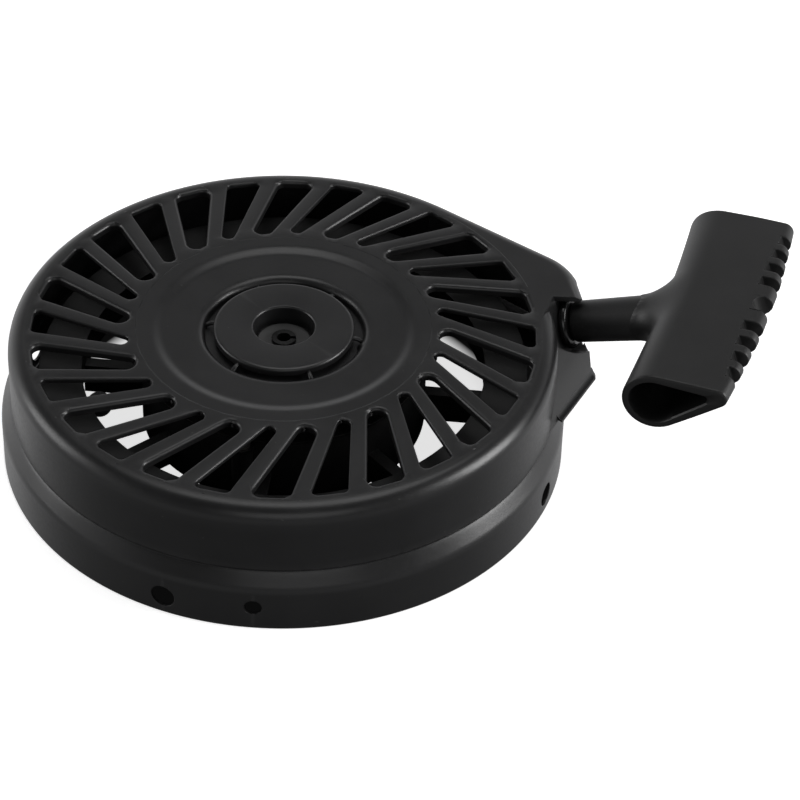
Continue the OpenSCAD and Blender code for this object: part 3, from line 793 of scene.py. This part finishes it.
def build_outlet():
    """The outlet as one sheet-metal box: roof, walls, the eyelet's flat, the sloped panel and the floor."""
    block = mesh_piece("outlet", *outlet_block(0), "housing_paint", "housing")
    bm = bmesh.new()
    bm.from_mesh(block.data)
    bmesh.ops.recalc_face_normals(bm, faces=bm.faces)
    bm.to_mesh(block.data)
    bm.free()
    pocket = pocket_solid(0)
    cut(pocket, box((0, HOOD_Y, EDGE_Z - SHEET - 0.4), (200, 150, 120)))
    cut(block, pocket)
    cut(block, front_solid(0))
    hollow = solid(*outlet_block(SHEET))
    cut(hollow, pocket_solid(SHEET))
    cut(hollow, front_solid(SHEET))
    cut(block, hollow)
    cut(block, rod((0, 0, 20), (0, 0, 1), 84.3, 80, 240))
    cut(block, rod((0, 0, 10), (0, 0, 1), 88.9, 66.4, 240))
    cut(block, rod(SEAT, OUT, 5.8, 12, 64))
    finish_cut(block, 32)
    return block


def build_lip():
    """The panel's lower edge, flared outwards."""
    along = Vector((-FRONT_OUT.y, FRONT_OUT.x, 0))
    lean = math.tan(FRONT_LEAN)
    section = [(-0.15, 2.6), (0.1, 1.8), (0.4, 1.15), (0.8, 0.7), (1.25, 0.4), (1.45, 0.1), (1.35, -0.15),
               (1.0, -0.2), (0.4, 0.0), (-0.5, 0.4), (-1.1, 1.2), (-1.1, 2.2)]
    verts, steps = [], 40
    for i in range(steps + 1):
        t = -15.5 + 27.8 * i / steps
        end = min(1, (steps - i) / 4 + 0.25)
        for n, h in section:
            p = FRONT_AT + along * t + FRONT_OUT * (n * end - lean * h) + Vector((0, 0, h))
            verts.append(tuple(p))
    n = len(section)
    faces = grid_faces(steps + 1, n, True)
    faces += [tuple(range(n - 1, -1, -1)), tuple(range(steps * n, (steps + 1) * n))]
    return verts, flip(faces[:-2]) + [faces[-2], faces[-1]]


outlet = build_outlet()
lip = mesh_piece("outlet_lip", *build_lip(), "housing_paint", "housing", 50)
cut(lip, rod((0, 0, 20), (0, 0, 1), 89.2, 80, 240))
finish_cut(lip, 50)
for o in (outlet, lip):
    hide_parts("housing")

# ---- Eyelet ------------------------------------------------------------------

bore = 2.4
eyelet_profile = [(bore + 0.6, -4.4), (5.4, -4.4), (5.8, -4.0), (5.8, 0.0), (7.4, 0.0)]
eyelet_profile += [(7.5 + 1.45 * math.sin(math.radians(a)), 1.45 - 1.45 * math.cos(math.radians(a)))
                   for a in range(15, 151, 15)]
eyelet_profile += [(6.9, 2.75), (6.3, 2.95), (5.0, 3.0)]
eyelet_profile += [(bore + 1.6 - 1.6 * math.sin(math.radians(a)), 1.35 + 1.6 * math.cos(math.radians(a)))
                   for a in range(0, 91, 15)]
eyelet_profile += [(bore, -3.8), (bore + 0.6, -4.4)]
eyelet = lathe("rope_eyelet_visual", eyelet_profile, "eyelet_steel", "housing",
               lambda z, x, y: at_outlet(z, x, y), 96, 40)
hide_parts("rope_eyelet")

# ---- Grip --------------------------------------------------------------------

BUTT = 3.3                  # the stem's end, out from the eyelet's seat
STEM = 31.0
BACK = BUTT + STEM
DEPTH = 37.0
FRONT = BACK + DEPTH
LENGTH = 96.0
BACK_R, NOSE_R, WALL = 10.2, 3.4, 2.6
BOW = 3.0                   # how far the finger edge falls back at the ends


def teardrop(back_r, nose_r, back_u, nose_u, n):
    """Section of the bar in the plane of the rope: round back, narrow finger edge. Ends where it starts."""
    lean = math.asin((back_r - nose_r) / (nose_u - back_u))
    top = math.pi / 2 - lean
    quarter = n // 4

    def at(centre, r, angle):
        return (centre + r * math.cos(angle), r * math.sin(angle))

    def straight(start, end):
        return [(start[0] + (end[0] - start[0]) * i / quarter, start[1] + (end[1] - start[1]) * i / quarter)
                for i in range(quarter)]

    back = [at(back_u, back_r, 1.5 * math.pi + lean - (math.pi + 2 * lean) * i / (quarter * 2))
            for i in range(quarter * 2)]
    nose = [at(nose_u, nose_r, top - 2 * top * i / quarter) for i in range(quarter)]
    upper = straight(at(back_u, back_r, top), at(nose_u, nose_r, top))
    lower = straight(at(nose_u, nose_r, -top), at(back_u, back_r, -top))
    return back + upper + nose + lower


# finger notches: centre, half width and depth, four on each side and a wider one in the middle
NOTCHES = [(s * (12.5 + 8.2 * k), 2.3, 5.6 - 0.27 * k) for s in (-1, 1) for k in range(4)]
NOTCHES += [(0.0, 3.8, 5.0)]
NOTCH_EDGE = 0.35


def nose_at(v):
    """Where the finger edge is: straight in the middle, then bowed back to the ends."""
    t = max(abs(v) - 12, 0) / (LENGTH / 2 - 12)
    return FRONT - BOW * t ** 1.25


def notch_floor(v):
    """Floor of the notch at v, and how close v is to the notch's rounded edge from outside."""
    for centre, r, depth in NOTCHES:
        d = abs(v - centre)
        soft = r if centre == 0 else 0.7
        if d < r:
            x = max(d - (r - soft), 0)
            return FRONT - depth + soft - math.sqrt(soft * soft - x * x), 0
        if d < r + NOTCH_EDGE:
            return FRONT - depth, 1 - (d - r) / NOTCH_EDGE
    return None, 0


def back_bow(v):
    """How far the back of the bar sweeps back towards its ends."""
    t = abs(v) / (LENGTH / 2)
    return (2.6 if v > 0 else 1.0) * t ** 1.6


def stem_push(u, v, w):
    """Draws the back of the bar out into a fillet round the stem."""
    r_stem, r_fillet = 7.75, 9.5
    rho = math.hypot(v, w)
    if u > BACK + BACK_R or rho > r_stem + r_fillet:
        return 0.0
    x = min(r_stem + r_fillet - rho, r_fillet)
    push = r_fillet - math.sqrt(max(r_fillet ** 2 - x * x, 0))
    fade = min(1, (BACK + BACK_R - u) / 6.0)
    return push * fade


def build_grip():
    n = 208
    half = LENGTH / 2
    stations = {round(-half + 0.75 * i, 4) for i in range(int(LENGTH / 0.75) + 1)}
    stations |= {round(-14.5 + 0.3 * i, 4) for i in range(97)}
    for centre, r, _ in NOTCHES:
        stations = {s for s in stations if abs(abs(s - centre) - r) > 0.45}
        stations |= {round(centre + r * math.sin(math.radians(a)), 4) for a in range(-80, 81, 10)}
        stations |= {round(centre + sgn * (r + x), 4) for sgn in (-1, 1)
                     for x in (-0.25, -0.1, -0.03, 0.0, 0.06, 0.15, 0.25, NOTCH_EDGE)}
    ordered = []
    for s in sorted(stations):
        if -half + 1.0 < s < half - 1.0 and (not ordered or s - ordered[-1] > 0.02):
            ordered.append(s)
    edge_r = 0.9
    ends = [(-half + edge_r * (1 - math.cos(math.radians(a))), edge_r * (1 - math.sin(math.radians(a))))
            for a in range(0, 91, 15)]
    rings = [(v, inset) for v, inset in ends] + [(v, 0.0) for v in ordered]
    rings += [(-v, inset) for v, inset in reversed(ends)]
    verts = []
    for v, inset in rings:
        front = nose_at(v)
        sec = teardrop(BACK_R - inset, NOSE_R - inset, BACK + BACK_R, front - NOSE_R, n)
        floor, near = notch_floor(v)
        bow = back_bow(v)
        for u, w in sec:
            if floor is not None and u > floor:
                if near:
                    w *= 1 - 0.3 * near * near / max(abs(w), 0.5)
                    u -= 0.3 * near * near
                else:
                    u = floor
            share = max(0, min(1, (BACK + 26 - u) / 22))
            u -= stem_push(u, v, w) + bow * share * share * (3 - 2 * share)
            verts.append(at_outlet(u, v, w))
    cols = len(sec)
    faces = grid_faces(len(rings), cols, True)
    # hollow: the inner wall, joined to the outer one by the two end faces
    inner_v = [-half, -half + 0.5] + [-half + 6 * i for i in range(1, 16)] + [half - 0.5, half]
    base = len(verts)
    for v in inner_v:
        inset = 0.4 if v in (-half, half) else 0.0
        sec = teardrop(BACK_R - WALL + inset, 1.5 + inset, BACK + BACK_R, FRONT - BOW - 8.0 + inset, n)
        bow = back_bow(v)
        verts += [at_outlet(u - bow * max(0, min(1, (BACK + 26 - u) / 22)), v, w) for u, w in sec]
    faces += flip(grid_faces(len(inner_v), cols, True, base))
    last = (len(rings) - 1) * cols
    last_in = base + (len(inner_v) - 1) * cols
    for c in range(cols):
        d = (c + 1) % cols
        faces.append((c, base + c, base + d, d))
        faces.append((last + d, last_in + d, last_in + c, last + c))
    return verts, faces


def build_stem():
    """The stem, a little conical, with a rounded end and the rope's hole."""
    prof = [(BUTT + 6.0, 2.2), (BUTT + 0.5, 2.2), (BUTT, 2.7), (BUTT, 6.1)]
    prof += [(BUTT + 0.9 - 0.9 * math.cos(math.radians(a)), 6.1 + 0.9 * math.sin(math.radians(a)))
             for a in range(15, 91, 15)]
    for i in range(1, 13):
        u = BUTT + 0.9 + (STEM + 1.5) * i / 12
        prof.append((u, 7.0 + 0.8 * i / 12))
    segs, verts = 96, []
    for u, r in prof:
        for k in range(segs):
            a = 2 * math.pi * k / segs
            verts.append(at_outlet(u, r * math.cos(a), r * math.sin(a)))
    return verts, flip(grid_faces(len(prof), segs, True))


grip = mesh_piece("grip_visual", *build_grip(), "grip_nylon", "handle", 40)
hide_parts("grip")
stem = mesh_piece("grip_stem", *build_stem(), "grip_nylon", "handle", 40)
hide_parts("grip")

# ---- Hub ---------------------------------------------------------------------

# from the pin's seat over the top face and round, and back along the post's end
hub_profile = [(10.0, 39.7), (10.0, CROWN - 0.5), (10.5, CROWN), (22.0, CROWN), (22.7, CROWN - 0.25),
               (23.0, CROWN - 0.8), (23.0, CROWN - 2.6), (22.6, CROWN - 2.8), (20.5, CROWN - 2.8),
               (20.5, 42.5), (31.0, 42.5), (31.0, 44.1), (37.0, 44.1), (37.0, 41.2), (16.4, 41.2),
               (16.0, 40.8), (16.0, 12.6), (15.4, 12.0), (4.0, 12.0), (4.0, 39.7), (10.0, 39.7)]
hub = lathe("hub_visual", rounded_profile(hub_profile, 0.25, 3), "hub_paint", "housing", None, 160, 30)
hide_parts("centre_hub")

# the six pressed tabs that hold the hub in the housing's eye
tab_verts, tab_faces = [], []
for k in range(6):
    a = -7 + 60 * k
    path = [(*polar(r, a), CROWN - z) for r, z in ((22.6, 2.3), (23.3, 2.15), (24.2, 2.3), (25.2, 2.8),
                                                   (26.1, 3.4), (26.6, 4.2))]
    v, f = sweep(path, 0.75, 16)
    tab_faces += [tuple(i + len(tab_verts) for i in face) for face in f]
    tab_verts += v
tabs = mesh_piece("hub_tabs", tab_verts, tab_faces, "hub_paint", "housing", 50)
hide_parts("centre_hub")

# ---- Rope --------------------------------------------------------------------


KNOT_ANGLE = 197.4
ROPE = (1.68, 16, 0.11, 0.16)      # radius, sides, height of the braid, its turns in each mm


def coil_path():
    """Two layers of two turns in the pulley's groove, from the knot outwards."""
    low, high, first, second = 24.35, 28.05, 70.3, 73.85
    plan = [(0, first, low), (340, first, low), (380, first, high), (700, first, high),
            (740, second, high), (1060, second, high), (1100, second, low), (1430, second, low)]
    pts = []
    for turn in np.arange(0, 1430.01, 1.5):
        for (a0, r0, h0), (a1, r1, h1) in zip(plan, plan[1:]):
            if a0 <= turn <= a1:
                t = (turn - a0) / (a1 - a0)
                t = t * t * (3 - 2 * t)
                pts.append((*polar(r0 + (r1 - r0) * t, KNOT_ANGLE + turn), h0 + (h1 - h0) * t))
                break
    return pts


def lead_path():
    """From the winding straight to the outlet, round a bend, and out through the eyelet."""
    turn_p = SEAT - OUT * 10
    lead_r, rope_z = 78.2, 26.2
    away = math.hypot(turn_p.x, turn_p.y)
    angle = math.degrees(math.atan2(turn_p.y, turn_p.x) + math.acos(lead_r / away))
    leave = Vector((*polar(lead_r, angle), rope_z))
    run = (turn_p - leave).normalized()
    a, b, c = turn_p - run * 5.5, turn_p, turn_p + OUT * 5.5
    pts = [leave.lerp(a, i / 40) for i in range(41)]
    for i in range(1, 17):
        t = i / 16
        pts.append(a * (1 - t) ** 2 + b * 2 * t * (1 - t) + c * t * t)
    end = SEAT + OUT * 2.8
    pts += [c.lerp(end, i / 10) for i in range(1, 11)]
    return pts


coil = mesh_piece("rope_coil_visual", *sweep(coil_path(), *ROPE), "rope_cord", "pulley")
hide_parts("rope_coil")
lead = mesh_piece("rope_lead_visual", *sweep(lead_path(), *ROPE), "rope_cord", "housing")
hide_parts("rope_lead")
handle_path = [at_outlet(BUTT + 0.3 + 0.6 * i, 0, 0) for i in range(66)]
handle_rope = mesh_piece("grip_rope_visual", *sweep(handle_path, *ROPE), "rope_cord", "handle")
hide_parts("grip_rope")
# the rope between the eyelet and a pulled handle: a short piece that stretches from one to the other
drawn_path = [at_outlet(1.0 + 0.1 * i, 0, 0) for i in range(61)]
drawn = mesh_piece("rope_drawn_out", *sweep(drawn_path, 1.6, 16, 0.10, 0.16), "rope_cord", "housing")
drawn.parent = None
del drawn["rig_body"]
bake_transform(drawn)

# ---- Studio ------------------------------------------------------------------

floor_mesh = bpy.data.meshes.new("floor")
size, cells = 3.0, 12
floor_mesh.from_pydata([(-size + 2 * size * i / cells, -size + 2 * size * j / cells, -0.00005)
                        for j in range(cells + 1) for i in range(cells + 1)], [],
                       grid_faces(cells + 1, cells + 1))
floor = bpy.data.objects.new("floor", floor_mesh)
scene.collection.objects.link(floor)
floor_mesh.materials.append(floor_material())
floor.visible_diffuse = False
floor.visible_glossy = False
# keeps the floor's light out of the starter from below
shade_z, shade_r = -0.00002, (RIM_R - 1) * MM
shade = bpy.data.objects.new("under_shade", bpy.data.meshes.new("under_shade"))
shade.data.from_pydata([(0, 0, shade_z)] + [(*polar(shade_r, 6 * k), shade_z) for k in range(60)], [],
                       [(0, k + 1, (k + 1) % 60 + 1) for k in range(60)])
shade.data.materials.append(nylon("under_shade", (0.004, 0.004, 0.004), (0.006, 0.006, 0.006), (0.8, 0.9)))
scene.collection.objects.link(shade)
shade.visible_camera = False

add_area("overhead", (0.1, 0.35, 1.6), (0, 0, 0), (1.2, 0.9), 6)
add_area("left", (-1.3, 0.15, 0.45), (0, 0, 0.02), (0.6, 0.7), 4)
add_area("right", (1.3, -0.1, 0.5), (0.05, 0, 0.02), (0.6, 0.7), 12)
add_area("front_fill", (0.2, -1.5, 0.9), (0.05, 0, 0), (1.2, 0.8), 3)

scene.view_settings.view_transform = "Standard"
scene.view_settings.look = "None"
